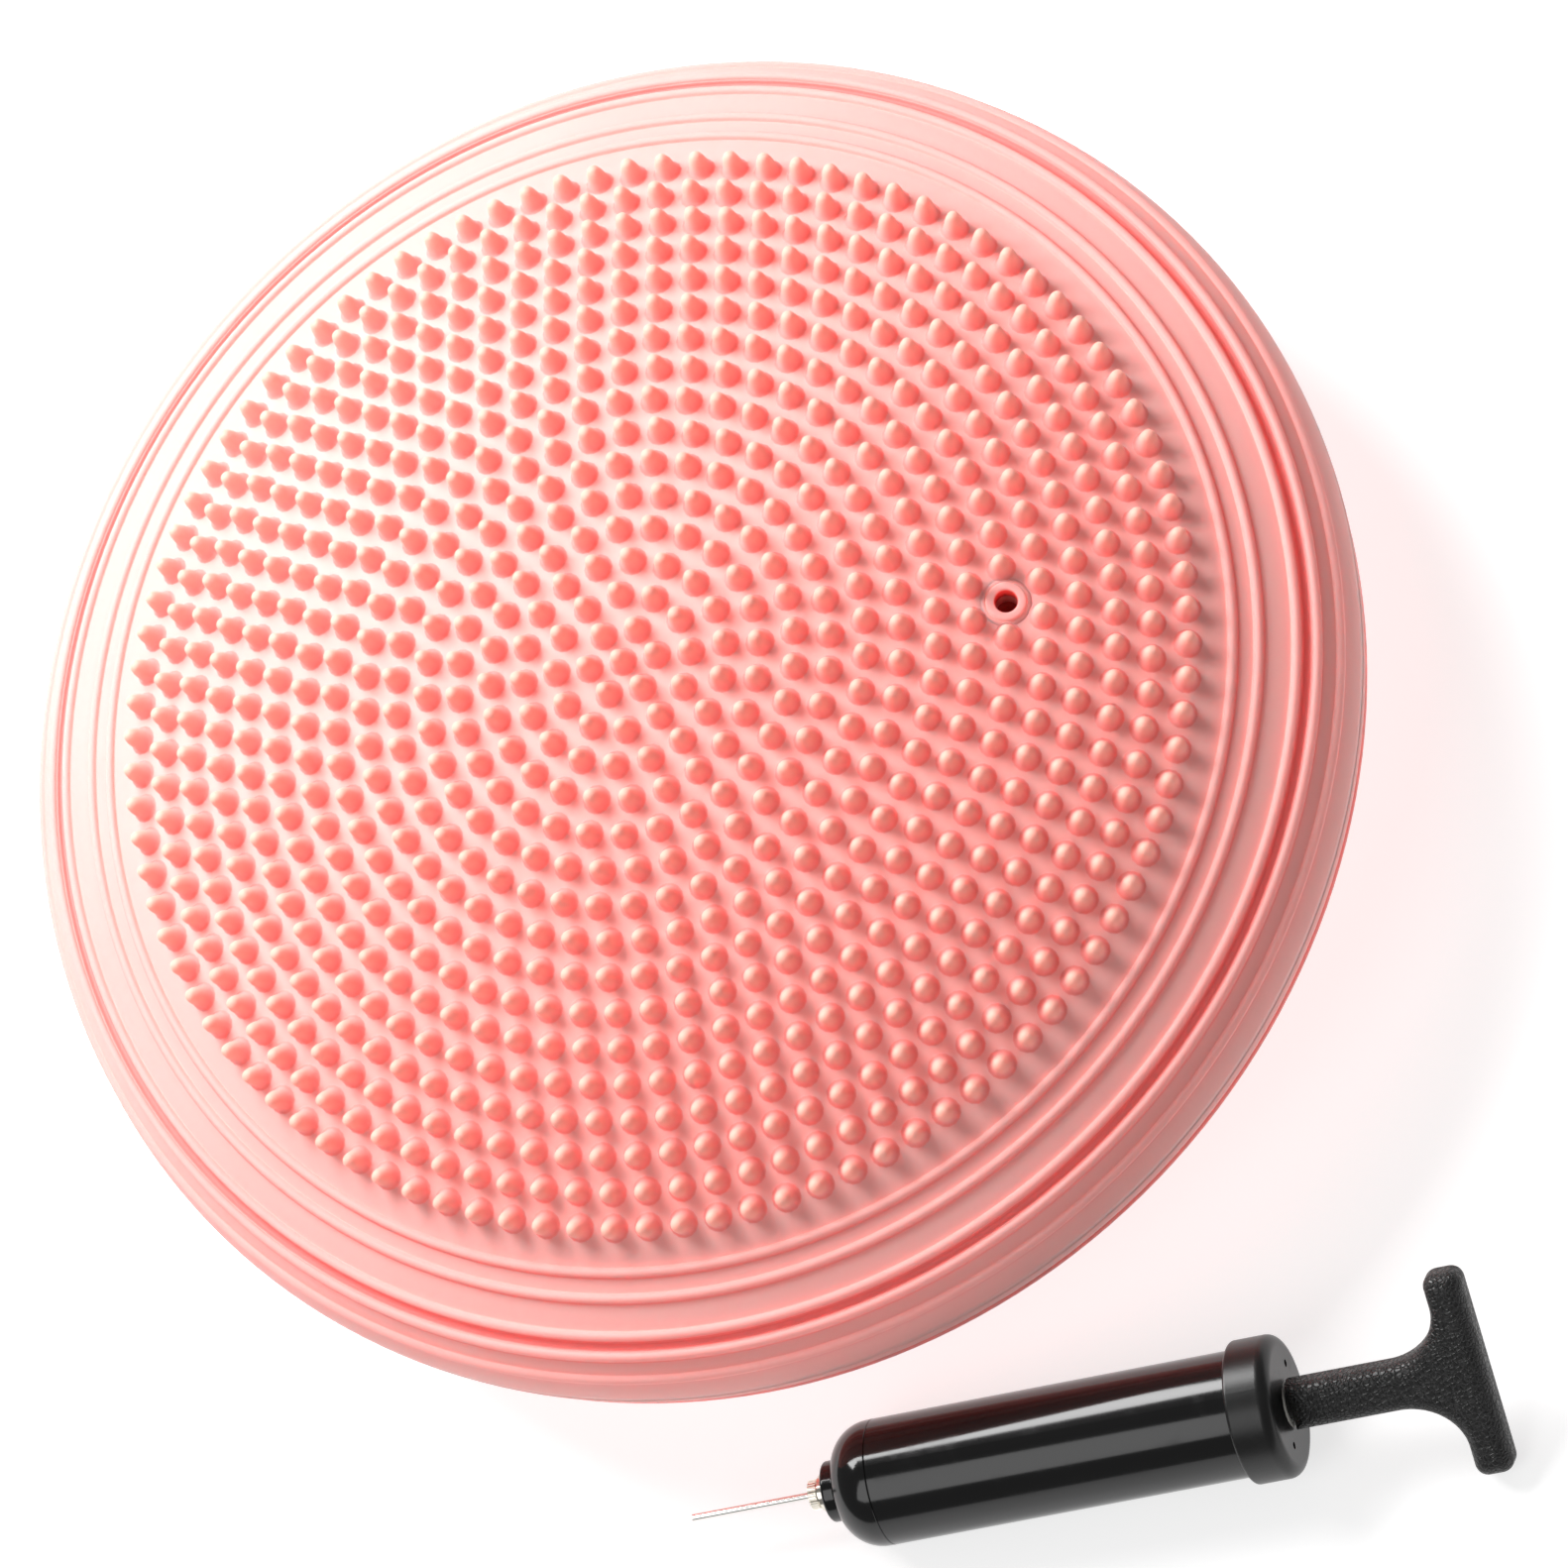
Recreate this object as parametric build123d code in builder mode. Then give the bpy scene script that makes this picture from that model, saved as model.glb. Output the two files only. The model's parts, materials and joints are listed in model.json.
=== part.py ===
from build123d import *
from math import asin, atan, atan2, cos, degrees, pi, radians, sin, sqrt
import os

# Balance dome trainer: an inflatable cushion with a studded dome, and the ball
# pump that belongs to it. Millimetres, +Z up. The origin is the centre of the
# flat patch the cushion lies on. +X runs along the pump, from needle to handle,
# and passes under the cushion's valve. Every piece is shown at rest.

# ---- cushion: driving sizes ----
cushion_radius = 165.0
crown_height = 95.0
flattening = 5.0
shoulder_radius = 16.09
shell_wall = 3.0

# ---- cushion: moulded rim beads and channel, by distance in from the rim ----
bead_radius = 1.25
inner_bead_inset = 25.0
second_bead_inset = 19.4
third_bead_inset = 11.3
shoulder_bead_inset = 7.0
side_bead_inset = 2.7
bead_stand = 0.15
channel_radius = 0.9
channel_inset = 9.1

# ---- cushion: studs ----
studs_per_ring_step = 6
stud_pitch = 8.33
stud_margin = 6.0
stud_base_radius = 3.0
stud_tip_radius = 1.75
stud_height = 5.8
stud_shoulder = 4.3
stud_root = 1.0
even_ring_turn = 2.5

# ---- cushion: inflation valve ----
valve_ring = 11
valve_mouth_radius = 2.7
valve_mound_radius = 4.9
valve_mound_height = 0.8
housing_flange_radius = 12.0
housing_flange_thickness = 2.0
housing_radius = 8.0
housing_length = 20.0
mouth_depth = 4.0
core_radius = 5.0
core_length = 13.0
core_exit_radius = 3.2
core_dimple_radius = 1.6
core_dimple_depth = 1.6
slit_length = 2.6
slit_width = 0.3
slit_depth = 8.0

# ---- pump: driving sizes ----
barrel_radius = 15.0
barrel_wall = 2.0
barrel_length = 89.0
cap_flange_radius = 17.0
cap_flange_length = 11.0
nose_length = 14.0
spigot_length = 8.0
edge_round = 0.8
cap_back_round = 3.0
seam_chamfer = 0.2
pump_gap = 3.5
barrel_front_x = 20.0

# ---- pump: clearances ----
running_clearance = 0.05
stop_clearance = 0.5
piston_clearance = 1.5

# ---- pump: nose ----
nose_side = 1.5
nose_boss_radius = 7.3
nose_boss_length = 3.5
nose_ledge = 1.8
insert_radius = 4.6
insert_bore = 3.4
insert_length = 11.0
port_radius = 1.5
chamber_radius = 6.0
chamber_front = -1.0
plate_front = 2.0
plate_back = 4.0
plate_hole_radius = 0.8
plate_hole_circle = 3.2
flap_radius = 4.8
flap_thickness = 0.8
flap_stem_radius = 1.1
flap_bulb_radius = 1.4
flap_bulb_length = 1.2
seal_depth = 1.4
seal_width = 1.6
seal_front = 3.2

# ---- pump: rear cap ----
bushing_radius = 5.5
vent_radius = 0.9
vent_inset = 3.0
washer_bore = 6.5
washer_clearance = 0.6
washer_thickness = 2.5

# ---- pump: plunger ----
rod_radius = 3.5
piston_thickness = 4.0
piston_side_clearance = 0.4
cup_thickness = 3.0
cup_lip = 1.2
screw_head_radius = 3.5
screw_head_length = 2.0
screw_radius = 1.5
screw_reach = 10.0
rod_socket = 21.0

# ---- pump: handle ----
stem_half_width = 5.75
stem_straight = 25.0
handle_length = 48.0
bar_half_length = 25.5
bar_depth = 9.3
bar_corner = 3.0
flare_reach = 12.0
handle_thickness = 10.0
handle_round = 3.6

# ---- needle: a knurled collar with a wide back flange, and an open tube ----
collar_back_radius = 4.35
collar_back_length = 1.0
collar_groove_radius = 3.0
collar_groove_length = 0.7
collar_knurl_radius = 3.6
collar_knurl_length = 2.0
knurl_count = 30
knurl_depth = 0.25
needle_washer_radius = 4.0
needle_washer_thickness = 0.6
needle_thread_length = 7.0
needle_radius = 0.9
needle_bore = 0.55
needle_seat_radius = 1.1
needle_reach = 30.0

# ---- values that follow ----
# the air-filled cushion is the same above and below its rim, but pressed flat by the floor
crown_rise = (crown_height + flattening) / 2
rim_height = crown_height - crown_rise
dome_span = cushion_radius**2 - 2 * cushion_radius * shoulder_radius + crown_rise**2
dome_radius = dome_span / (2 * (crown_rise - shoulder_radius))
dome_drop = dome_radius - crown_rise
upper_centre = rim_height - dome_drop
lower_centre = rim_height + dome_drop
shoulder_place = cushion_radius - shoulder_radius
shoulder_angle = degrees(atan2(shoulder_place, dome_drop))
base_radius = sqrt(dome_radius**2 - lower_centre**2)
inner_bead = cushion_radius - inner_bead_inset
channel_place = cushion_radius - channel_inset
bead_insets = (inner_bead_inset, second_bead_inset, third_bead_inset, shoulder_bead_inset, side_bead_inset)
stud_rings = int((dome_radius * asin(inner_bead / dome_radius) - stud_margin) / stud_pitch)
barrel_bore = barrel_radius - barrel_wall
washer_radius = barrel_bore - washer_clearance
piston_radius = barrel_bore - piston_side_clearance
vent_circle = barrel_bore - vent_inset
rear_face = barrel_length + cap_flange_length
washer_front = barrel_length - spigot_length - washer_thickness
cup_front = spigot_length + piston_clearance
piston_front = cup_front + cup_thickness
piston_back = piston_front + piston_thickness
handle_start = rear_face + stop_clearance
insert_back = insert_length - nose_length
handle_end = handle_start + handle_length
bar_inner = handle_end - bar_depth
stroke = washer_front - piston_back
collar_seat = -nose_length - needle_washer_thickness

# ---- where the pump lies: on its nose's edge and its flange, handle end down ----
pump_tilt = degrees(atan((cap_flange_radius - barrel_radius) / (barrel_length + edge_round + nose_side)))
pump_rise = sin(radians(pump_tilt))
pump_y = -(cushion_radius + pump_gap + barrel_radius)
pump_z = barrel_radius * cos(radians(pump_tilt)) + nose_side * pump_rise
pump_origin = Vector(barrel_front_x, pump_y, pump_z)
pump_direction = Vector(cos(radians(pump_tilt)), 0, pump_rise)
pump_up = Vector(-pump_rise, 0, cos(radians(pump_tilt)))
pump_axis = Axis(pump_origin, pump_direction)
# profile_plane: x along the pump, y out from its axis
profile_plane = Plane(origin=pump_origin, x_dir=pump_direction, z_dir=(0, -1, 0))
bar_height = pump_z + (bar_inner + handle_round) * pump_rise
corner_out = bar_half_length - handle_round
corner_across = handle_thickness / 2 - handle_round
handle_roll = asin((bar_height - handle_round) / sqrt(corner_out**2 + corner_across**2))
handle_roll = handle_roll - atan2(corner_across, corner_out)
bar_direction = Vector(0, cos(handle_roll), 0) + pump_up * sin(handle_roll)
handle_plane = Plane(origin=pump_origin, x_dir=pump_direction, z_dir=pump_direction.cross(bar_direction))


def across(place):
    """A plane square to the pump, this far along it, looking at the handle."""
    return Plane(origin=pump_origin + pump_direction * place, x_dir=pump_up, z_dir=pump_direction)


def shell_top(radius):
    """Height of the cushion's upper outside at this distance from its middle."""
    if radius <= shoulder_place + shoulder_radius * sin(radians(shoulder_angle)):
        return upper_centre + sqrt(dome_radius**2 - radius**2)
    return rim_height + sqrt(shoulder_radius**2 - (radius - shoulder_place) ** 2)


def upper_arcs(inset):
    """The upper half's outline, from rim to crown, moved in by the inset."""
    shoulder = CenterArc((shoulder_place, rim_height), shoulder_radius - inset, 0, 90 - shoulder_angle)
    dome = CenterArc((0, upper_centre), dome_radius - inset, 90 - shoulder_angle, shoulder_angle)
    return shoulder, dome


def band(start, end, inside, outside, mode=Mode.ADD):
    """A ring of a turned pump part, drawn as a rectangle in the profile plane."""
    with Locations(((start + end) / 2, (inside + outside) / 2)):
        Rectangle(end - start, outside - inside, mode=mode)


bead_rounds = [cushion_radius - inset for inset in bead_insets]
bead_places = [(place, shell_top(place) - bead_radius + 1.0 + bead_stand) for place in bead_rounds]

# ---- stud: a blunt cone with a rounded tip, its root sunk in the shell ----
with BuildPart() as stud:
    with BuildSketch(Plane.XZ):
        with BuildLine():
            root = Polyline((0, -stud_root), (stud_base_radius, -stud_root), (stud_base_radius, 0.3))
            flank = Line(root @ 1, (stud_tip_radius, stud_shoulder))
            TangentArc(flank @ 1, (0, stud_height), tangent=(1, 0), tangent_from_first=False)
            Line((0, stud_height), root @ 0)
        make_face()
    revolve(axis=Axis.Z)

valve_tilt = degrees(valve_ring * stud_pitch / dome_radius)
valve_direction = Vector(sin(radians(valve_tilt)), 0, cos(radians(valve_tilt)))
valve_origin = Vector(0, 0, upper_centre) + valve_direction * dome_radius
valve_axis = Axis(valve_origin, valve_direction)
# valve_profile: x out from the valve's axis, y along it, 0 at the dome's surface
valve_profile = Plane(origin=valve_origin, x_dir=(cos(radians(valve_tilt)), 0, -sin(radians(valve_tilt))),
                      z_dir=(0, -1, 0))
valve_plane = Plane(origin=valve_origin, x_dir=(cos(radians(valve_tilt)), 0, -sin(radians(valve_tilt))),
                    z_dir=valve_direction)

stud_places = []
for ring in range(stud_rings + 1):
    ring_count = max(1, studs_per_ring_step * ring)
    ring_tilt = degrees(ring * stud_pitch / dome_radius)
    ring_turn = -even_ring_turn if ring % 2 == 0 else 0.0
    for place in range(ring_count):
        if ring == valve_ring and place == 0:
            continue
        turned = Location((0, 0, upper_centre), (0, 0, ring_turn + 360 / ring_count * place))
        leaned = Location((0, 0, 0), (0, ring_tilt, 0))
        stud_places.append(turned * leaned * Location((0, 0, dome_radius)))

# ---- upper shell: dome, rim beads, valve mound and studs in one moulding ----
with BuildPart() as upper_shell:
    with BuildSketch(Plane.XZ):
        with BuildLine():
            outer = upper_arcs(0)
            inner = upper_arcs(shell_wall)
            Line(outer[1] @ 1, inner[1] @ 1)
            Line(outer[0] @ 0, inner[0] @ 0)
        make_face()
        with Locations(*bead_places):
            Circle(bead_radius)
        with Locations((channel_place, shell_top(channel_place))):
            Circle(channel_radius, mode=Mode.SUBTRACT)
    revolve(axis=Axis.Z)
    with BuildSketch(valve_profile):
        with Locations((valve_mound_radius / 2, valve_mound_height - 1)):
            Rectangle(valve_mound_radius, 2)
    revolve(axis=valve_axis)
    mound_rim = upper_shell.faces().filter_by(GeomType.PLANE).sort_by(valve_axis)[-1].edges()
    fillet(mound_rim, radius=0.6)
    with Locations(*stud_places):
        add(stud.part)
    with BuildSketch(valve_plane.offset(2 * valve_mound_height)):
        Circle(valve_mouth_radius)
    extrude(amount=-(2 * valve_mound_height + 2 * shell_wall), mode=Mode.SUBTRACT)
upper_shell.part.label = "upper_shell"

# ---- lower shell: the same rim mirrored, flattened where it lies on the floor ----
with BuildPart() as lower_shell:
    with BuildSketch(Plane.XZ):
        with BuildLine():
            low_shoulder = CenterArc((shoulder_place, rim_height), shoulder_radius, 0, shoulder_angle - 90)
            low_turn = degrees(asin(base_radius / dome_radius))
            low_dome = CenterArc((0, lower_centre), dome_radius, shoulder_angle - 90, low_turn - shoulder_angle)
            patch = Line(low_dome @ 1, (0, 0))
            Line(patch @ 1, (0, shell_wall))
            in_turn = degrees(atan2(sqrt((dome_radius - shell_wall) ** 2 - (lower_centre - shell_wall) ** 2),
                                    lower_centre - shell_wall))
            in_dome = CenterArc((0, lower_centre), dome_radius - shell_wall, shoulder_angle - 90,
                                in_turn - shoulder_angle)
            Line((0, shell_wall), in_dome @ 1)
            in_shoulder = CenterArc((shoulder_place, rim_height), shoulder_radius - shell_wall, 0,
                                    shoulder_angle - 90)
            Line(low_shoulder @ 0, in_shoulder @ 0)
        make_face()
        with Locations(*[(place[0], 2 * rim_height - place[1]) for place in bead_places]):
            Circle(bead_radius)
        with Locations((channel_place, 2 * rim_height - shell_top(channel_place))):
            Circle(channel_radius, mode=Mode.SUBTRACT)
    revolve(axis=Axis.Z)
lower_shell.part.label = "lower_shell"

# ---- valve housing: a tube bonded under the dome, opening into the cushion ----
under_dome = dome_radius - shell_wall
pocket_top = -shell_wall - mouth_depth
pocket_bottom = pocket_top - core_length
housing_bottom = -shell_wall - housing_length
with BuildPart() as valve_housing:
    with BuildSketch(valve_profile):
        with BuildLine():
            flange_turn = degrees(asin(housing_flange_radius / under_dome))
            mouth_turn = degrees(asin(valve_mouth_radius / under_dome))
            seat = CenterArc((0, -dome_radius), under_dome, 90 - flange_turn, flange_turn - mouth_turn)
            flange_bottom = (seat @ 0).Y - housing_flange_thickness
            Polyline(seat @ 0, (housing_flange_radius, flange_bottom), (housing_radius, flange_bottom),
                     (housing_radius, housing_bottom), (core_exit_radius, housing_bottom),
                     (core_exit_radius, pocket_bottom), (core_radius, pocket_bottom),
                     (core_radius, pocket_top), (valve_mouth_radius, pocket_top), seat @ 1)
        make_face()
    revolve(axis=valve_axis)
valve_housing.part.label = "valve_housing"

# ---- valve core: a rubber plug with a dimple and a slit for the needle ----
with BuildPart() as valve_core:
    with BuildSketch(valve_plane.offset(pocket_bottom)):
        Circle(core_radius)
    extrude(amount=core_length)
    with BuildSketch(valve_profile):
        with BuildLine():
            Polyline((0, pocket_top - core_dimple_depth), (core_dimple_radius, pocket_top), (0, pocket_top),
                     close=True)
        make_face()
    revolve(axis=valve_axis, mode=Mode.SUBTRACT)
    with BuildSketch(valve_plane.offset(pocket_top)):
        Rectangle(slit_length, slit_width)
    extrude(amount=-slit_depth, mode=Mode.SUBTRACT)
valve_core.part.label = "valve_core"

# ---- pump barrel ----
with BuildPart() as pump_barrel:
    with BuildSketch(profile_plane):
        with BuildLine():
            Polyline((0, barrel_bore), (0, barrel_radius - seam_chamfer), (seam_chamfer, barrel_radius),
                     (barrel_length, barrel_radius), (barrel_length, barrel_bore), close=True)
        make_face()
    revolve(axis=pump_axis)
pump_barrel.part.label = "pump_barrel"

# ---- front cap: rounded nose with a stepped boss, and a spigot in the barrel ----
with BuildPart() as front_cap:
    with BuildSketch(profile_plane):
        with BuildLine():
            seam = Line((0, barrel_radius - seam_chamfer), (-seam_chamfer, barrel_radius))
            side = Line(seam @ 1, (-nose_side, barrel_radius))
            shoulder_end = (nose_boss_length - nose_length, nose_boss_radius + nose_ledge)
            nose = TangentArc(side @ 1, shoulder_end, tangent=(-1, 0))
            Polyline(nose @ 1, (nose_boss_length - nose_length, nose_boss_radius),
                     (-nose_length, nose_boss_radius), (-nose_length, 0), (spigot_length, 0),
                     (spigot_length, barrel_bore), (0, barrel_bore), seam @ 0)
        make_face()
        # room for the insert, then the port, the flap's chamber and the barrel seal
        band(-nose_length, insert_back, 0, insert_radius, Mode.SUBTRACT)
        band(insert_back, chamber_front, 0, port_radius, Mode.SUBTRACT)
        band(chamber_front, spigot_length, 0, chamber_radius, Mode.SUBTRACT)
        band(seal_front, seal_front + seal_width, barrel_bore - seal_depth, barrel_bore, Mode.SUBTRACT)
    revolve(axis=pump_axis)
    boss_edge = front_cap.faces().filter_by(GeomType.PLANE).sort_by(pump_axis)[0].edges().sort_by(SortBy.RADIUS)[-1]
    fillet(boss_edge, radius=edge_round)
front_cap.part.label = "front_cap"

# ---- threaded insert in the nose ----
with BuildPart() as thread_insert:
    with BuildSketch(profile_plane):
        band(-nose_length, insert_back, insert_bore, insert_radius)
    revolve(axis=pump_axis)
thread_insert.part.label = "thread_insert"

# ---- O-ring between front cap and barrel ----
with BuildPart() as barrel_seal:
    with BuildSketch(profile_plane):
        band(seal_front, seal_front + seal_width, barrel_bore - seal_depth, barrel_bore)
    revolve(axis=pump_axis)
barrel_seal.part.label = "barrel_seal"

# ---- outlet plate: pressed in the front cap, holds the flap and lets air past ----
with BuildPart() as outlet_plate:
    with BuildSketch(across(plate_front)):
        Circle(chamber_radius)
        Circle(flap_stem_radius, mode=Mode.SUBTRACT)
        with PolarLocations(plate_hole_circle, 4):
            Circle(plate_hole_radius, mode=Mode.SUBTRACT)
    extrude(amount=plate_back - plate_front)
outlet_plate.part.label = "outlet_plate"

# ---- outlet flap: a rubber umbrella that lets air out of the barrel only ----
with BuildPart() as outlet_flap:
    with BuildSketch(profile_plane):
        band(plate_front - flap_thickness, plate_front, 0, flap_radius)
        band(plate_front, plate_back, 0, flap_stem_radius)
        band(plate_back, plate_back + flap_bulb_length, 0, flap_bulb_radius)
    revolve(axis=pump_axis)
outlet_flap.part.label = "outlet_flap"

# ---- rear cap: flange outside, spigot in the barrel, two air inlets ----
with BuildPart() as rear_cap:
    with BuildSketch(profile_plane):
        band(barrel_length - spigot_length, barrel_length, bushing_radius, barrel_bore)
        band(barrel_length, rear_face, bushing_radius, cap_flange_radius)
    revolve(axis=pump_axis)
    flange_edges = rear_cap.edges().filter_by(GeomType.CIRCLE)
    flange_edges = flange_edges.filter_by(lambda edge: abs(edge.radius - cap_flange_radius) < 0.01)
    flange_edges = flange_edges.sort_by(pump_axis)
    fillet(flange_edges[0], radius=edge_round)
    fillet(flange_edges[-1], radius=cap_back_round)
    with BuildSketch(across(rear_face)):
        with PolarLocations(vent_circle, 2, start_angle=90):
            Circle(vent_radius)
    extrude(amount=-(cap_flange_length + spigot_length), mode=Mode.SUBTRACT)
rear_cap.part.label = "rear_cap"

# ---- guide bushing for the rod ----
with BuildPart() as rod_bushing:
    with BuildSketch(profile_plane):
        band(barrel_length - spigot_length, rear_face, rod_radius + running_clearance, bushing_radius)
    revolve(axis=pump_axis)
rod_bushing.part.label = "rod_bushing"

# ---- rubber stop inside the rear cap, with its inlets left open ----
with BuildPart() as stop_washer:
    with BuildSketch(profile_plane):
        band(washer_front, washer_front + washer_thickness, washer_bore, washer_radius)
    revolve(axis=pump_axis)
    with BuildSketch(across(washer_front)):
        with PolarLocations(vent_circle, 2, start_angle=90):
            Circle(vent_radius)
    extrude(amount=washer_thickness, mode=Mode.SUBTRACT)
stop_washer.part.label = "stop_washer"

# ---- piston rod: the screw enters one end, the other is glued in the handle ----
with BuildPart() as piston_rod:
    with BuildSketch(profile_plane):
        band(piston_back, handle_start + rod_socket, 0, rod_radius)
        band(piston_back, piston_back + screw_reach, 0, screw_radius, Mode.SUBTRACT)
    revolve(axis=pump_axis)
piston_rod.part.label = "piston_rod"

# ---- piston ----
with BuildPart() as piston:
    with BuildSketch(profile_plane):
        band(piston_front, piston_back, screw_radius, piston_radius)
    revolve(axis=pump_axis)
piston.part.label = "piston"

# ---- piston cup: its lip runs on the barrel's bore ----
cup_radius = barrel_bore - running_clearance
with BuildPart() as piston_cup:
    with BuildSketch(profile_plane):
        with BuildLine():
            Polyline((cup_front + cup_lip, screw_radius), (piston_front, screw_radius),
                     (piston_front, cup_radius - cup_lip), (cup_front + cup_lip, cup_radius),
                     (cup_front, cup_radius), (cup_front, cup_radius - cup_lip),
                     (cup_front + cup_lip, cup_radius - 2 * cup_lip), close=True)
        make_face()
    revolve(axis=pump_axis)
piston_cup.part.label = "piston_cup"

# ---- piston screw with a cross-drive head ----
screw_face = cup_front + cup_lip
with BuildPart() as piston_screw:
    with BuildSketch(profile_plane):
        band(screw_face - screw_head_length, screw_face, 0, screw_head_radius)
        band(screw_face, piston_back + screw_reach, 0, screw_radius)
    revolve(axis=pump_axis)
    with BuildSketch(across(screw_face - screw_head_length)):
        Rectangle(screw_head_radius, screw_radius / 2)
        Rectangle(screw_radius / 2, screw_head_radius)
    extrude(amount=screw_head_length / 2, mode=Mode.SUBTRACT)
piston_screw.part.label = "piston_screw"

# ---- handle: a flat stem that flares into a crossbar ----
with BuildPart() as handle:
    with BuildSketch(handle_plane):
        with BuildLine():
            base = Line((handle_start, 0), (handle_start, stem_half_width))
            stem = Line(base @ 1, (handle_start + stem_straight, stem_half_width))
            flare_length = bar_inner - handle_start - stem_straight
            flare_top = stem_half_width + flare_reach
            flare = EllipticalCenterArc(((stem @ 1).X, flare_top), flare_length, flare_reach, 270,
                                        arc_size=90)
            Polyline(flare @ 1, (bar_inner, bar_half_length), (handle_end, bar_half_length), (handle_end, 0))
            mirror(about=Plane.XZ)
        make_face()
        bar_corners = vertices().filter_by(lambda corner: abs(corner.Y) > bar_half_length - 0.01)
        fillet(bar_corners, radius=bar_corner)
    extrude(amount=handle_thickness / 2, both=True)
    broad_faces = handle.faces().filter_by(Axis(pump_origin, handle_plane.z_dir))
    fillet(broad_faces.edges(), radius=handle_round)
    with BuildSketch(across(handle_start)):
        Circle(rod_radius)
    extrude(amount=rod_socket, mode=Mode.SUBTRACT)
handle.part.label = "handle"

# ---- needle collar: flange on the nose, groove, knurled grip, plain thread stand-in ----
groove_start = collar_seat - collar_back_length
knurl_start = groove_start - collar_groove_length
collar_end = knurl_start - collar_knurl_length
thread_end = collar_seat + needle_thread_length
with BuildPart() as needle_collar:
    with BuildSketch(profile_plane):
        band(collar_seat, thread_end, needle_seat_radius, insert_bore - running_clearance)
        band(groove_start, collar_seat, needle_seat_radius, collar_back_radius)
        band(knurl_start, groove_start, needle_seat_radius, collar_groove_radius)
        band(collar_end, knurl_start, needle_seat_radius, collar_knurl_radius)
    revolve(axis=pump_axis)
    with BuildSketch(across(knurl_start)):
        with PolarLocations(collar_knurl_radius, knurl_count):
            Circle(knurl_depth)
    extrude(amount=-collar_knurl_length, mode=Mode.SUBTRACT)
needle_collar.part.label = "needle_collar"

# ---- needle washer ----
with BuildPart() as needle_washer:
    with BuildSketch(profile_plane):
        band(collar_seat, -nose_length, insert_bore - running_clearance, needle_washer_radius)
    revolve(axis=pump_axis)
needle_washer.part.label = "needle_washer"

# ---- needle tube, open at both ends ----
tube_end = collar_end - needle_reach
with BuildPart() as needle_tube:
    with BuildSketch(profile_plane):
        band(tube_end, collar_end, needle_bore, needle_radius)
        band(collar_end, thread_end, needle_bore, needle_seat_radius)
    revolve(axis=pump_axis)
    fillet(needle_tube.edges().sort_by(pump_axis)[:2], radius=0.12)
needle_tube.part.label = "needle_tube"

pieces = (upper_shell, lower_shell, valve_housing, valve_core, pump_barrel, front_cap, thread_insert,
          barrel_seal, outlet_plate, outlet_flap, rear_cap, rod_bushing, stop_washer, piston_rod, piston,
          piston_cup, piston_screw, handle, needle_collar, needle_washer, needle_tube)
os.makedirs("parts", exist_ok=True)
for piece in pieces:
    export_step(piece.part, "parts/" + piece.part.label + ".step")
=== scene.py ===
import json
from math import acos, asin, atan2, cos, pi, radians, sin, sqrt

import bmesh
import bpy
from mathutils import Matrix, Vector


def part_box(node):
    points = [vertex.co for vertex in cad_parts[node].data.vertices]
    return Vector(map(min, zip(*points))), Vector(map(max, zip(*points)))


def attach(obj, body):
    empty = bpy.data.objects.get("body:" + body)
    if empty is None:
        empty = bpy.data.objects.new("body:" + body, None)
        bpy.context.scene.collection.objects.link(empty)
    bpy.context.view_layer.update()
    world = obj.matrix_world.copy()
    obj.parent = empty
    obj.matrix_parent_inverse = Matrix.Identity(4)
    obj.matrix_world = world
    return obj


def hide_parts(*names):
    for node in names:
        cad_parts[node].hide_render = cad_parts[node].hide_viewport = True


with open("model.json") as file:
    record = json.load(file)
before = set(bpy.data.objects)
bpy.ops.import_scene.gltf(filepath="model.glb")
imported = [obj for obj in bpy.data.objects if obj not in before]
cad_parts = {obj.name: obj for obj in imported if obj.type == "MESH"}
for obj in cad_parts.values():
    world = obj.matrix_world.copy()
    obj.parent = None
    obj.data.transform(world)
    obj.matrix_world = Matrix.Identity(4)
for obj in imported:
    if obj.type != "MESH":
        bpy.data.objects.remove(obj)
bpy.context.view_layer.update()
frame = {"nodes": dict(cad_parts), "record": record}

# ---- sizes, in metres: the cushion's own, read from its CAD upper half ----
upper_low, upper_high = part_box("upper_shell")
cushion_radius = upper_high[0]
rim_height = upper_low[2]
stud_height = 0.0058
crown_height = upper_high[2] - stud_height
dome_radius = 0.360
shell_wall = 0.003
dome_drop = dome_radius - (crown_height - rim_height)
upper_centre = rim_height - dome_drop
lower_centre = rim_height + dome_drop
shoulder_radius = (dome_radius**2 - cushion_radius**2 - dome_drop**2) / (2 * (dome_radius - cushion_radius))
shoulder_place = cushion_radius - shoulder_radius
shoulder_angle = atan2(shoulder_place, dome_drop)

# rim beads: distance of each from the middle
bead_places = (0.1400, 0.1456, 0.1537, 0.1580, 0.1623)
bead_width = 0.00125
bead_rise = 0.00115
channel_place = 0.1559
channel_width = 0.0009
channel_depth = 0.0009
lathe_steps = 192
inside_rows = 14

# studs
stud_rings = 16
studs_per_ring_step = 6
stud_pitch = 0.00833
stud_base_radius = 0.0030
stud_tip_radius = 0.00175
stud_shoulder = 0.0043
stud_sides = 14
even_ring_turn = radians(2.5)

# valve
valve_ring = 11
valve_mouth_radius = 0.0027
valve_mound_radius = 0.0049
valve_mound_height = 0.0008
mound_round = 0.0006
mouth_round = 0.0004
mouth_cut_radius = 0.0037
mouth_cut_above = 0.004
mouth_cut_below = 0.006

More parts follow.
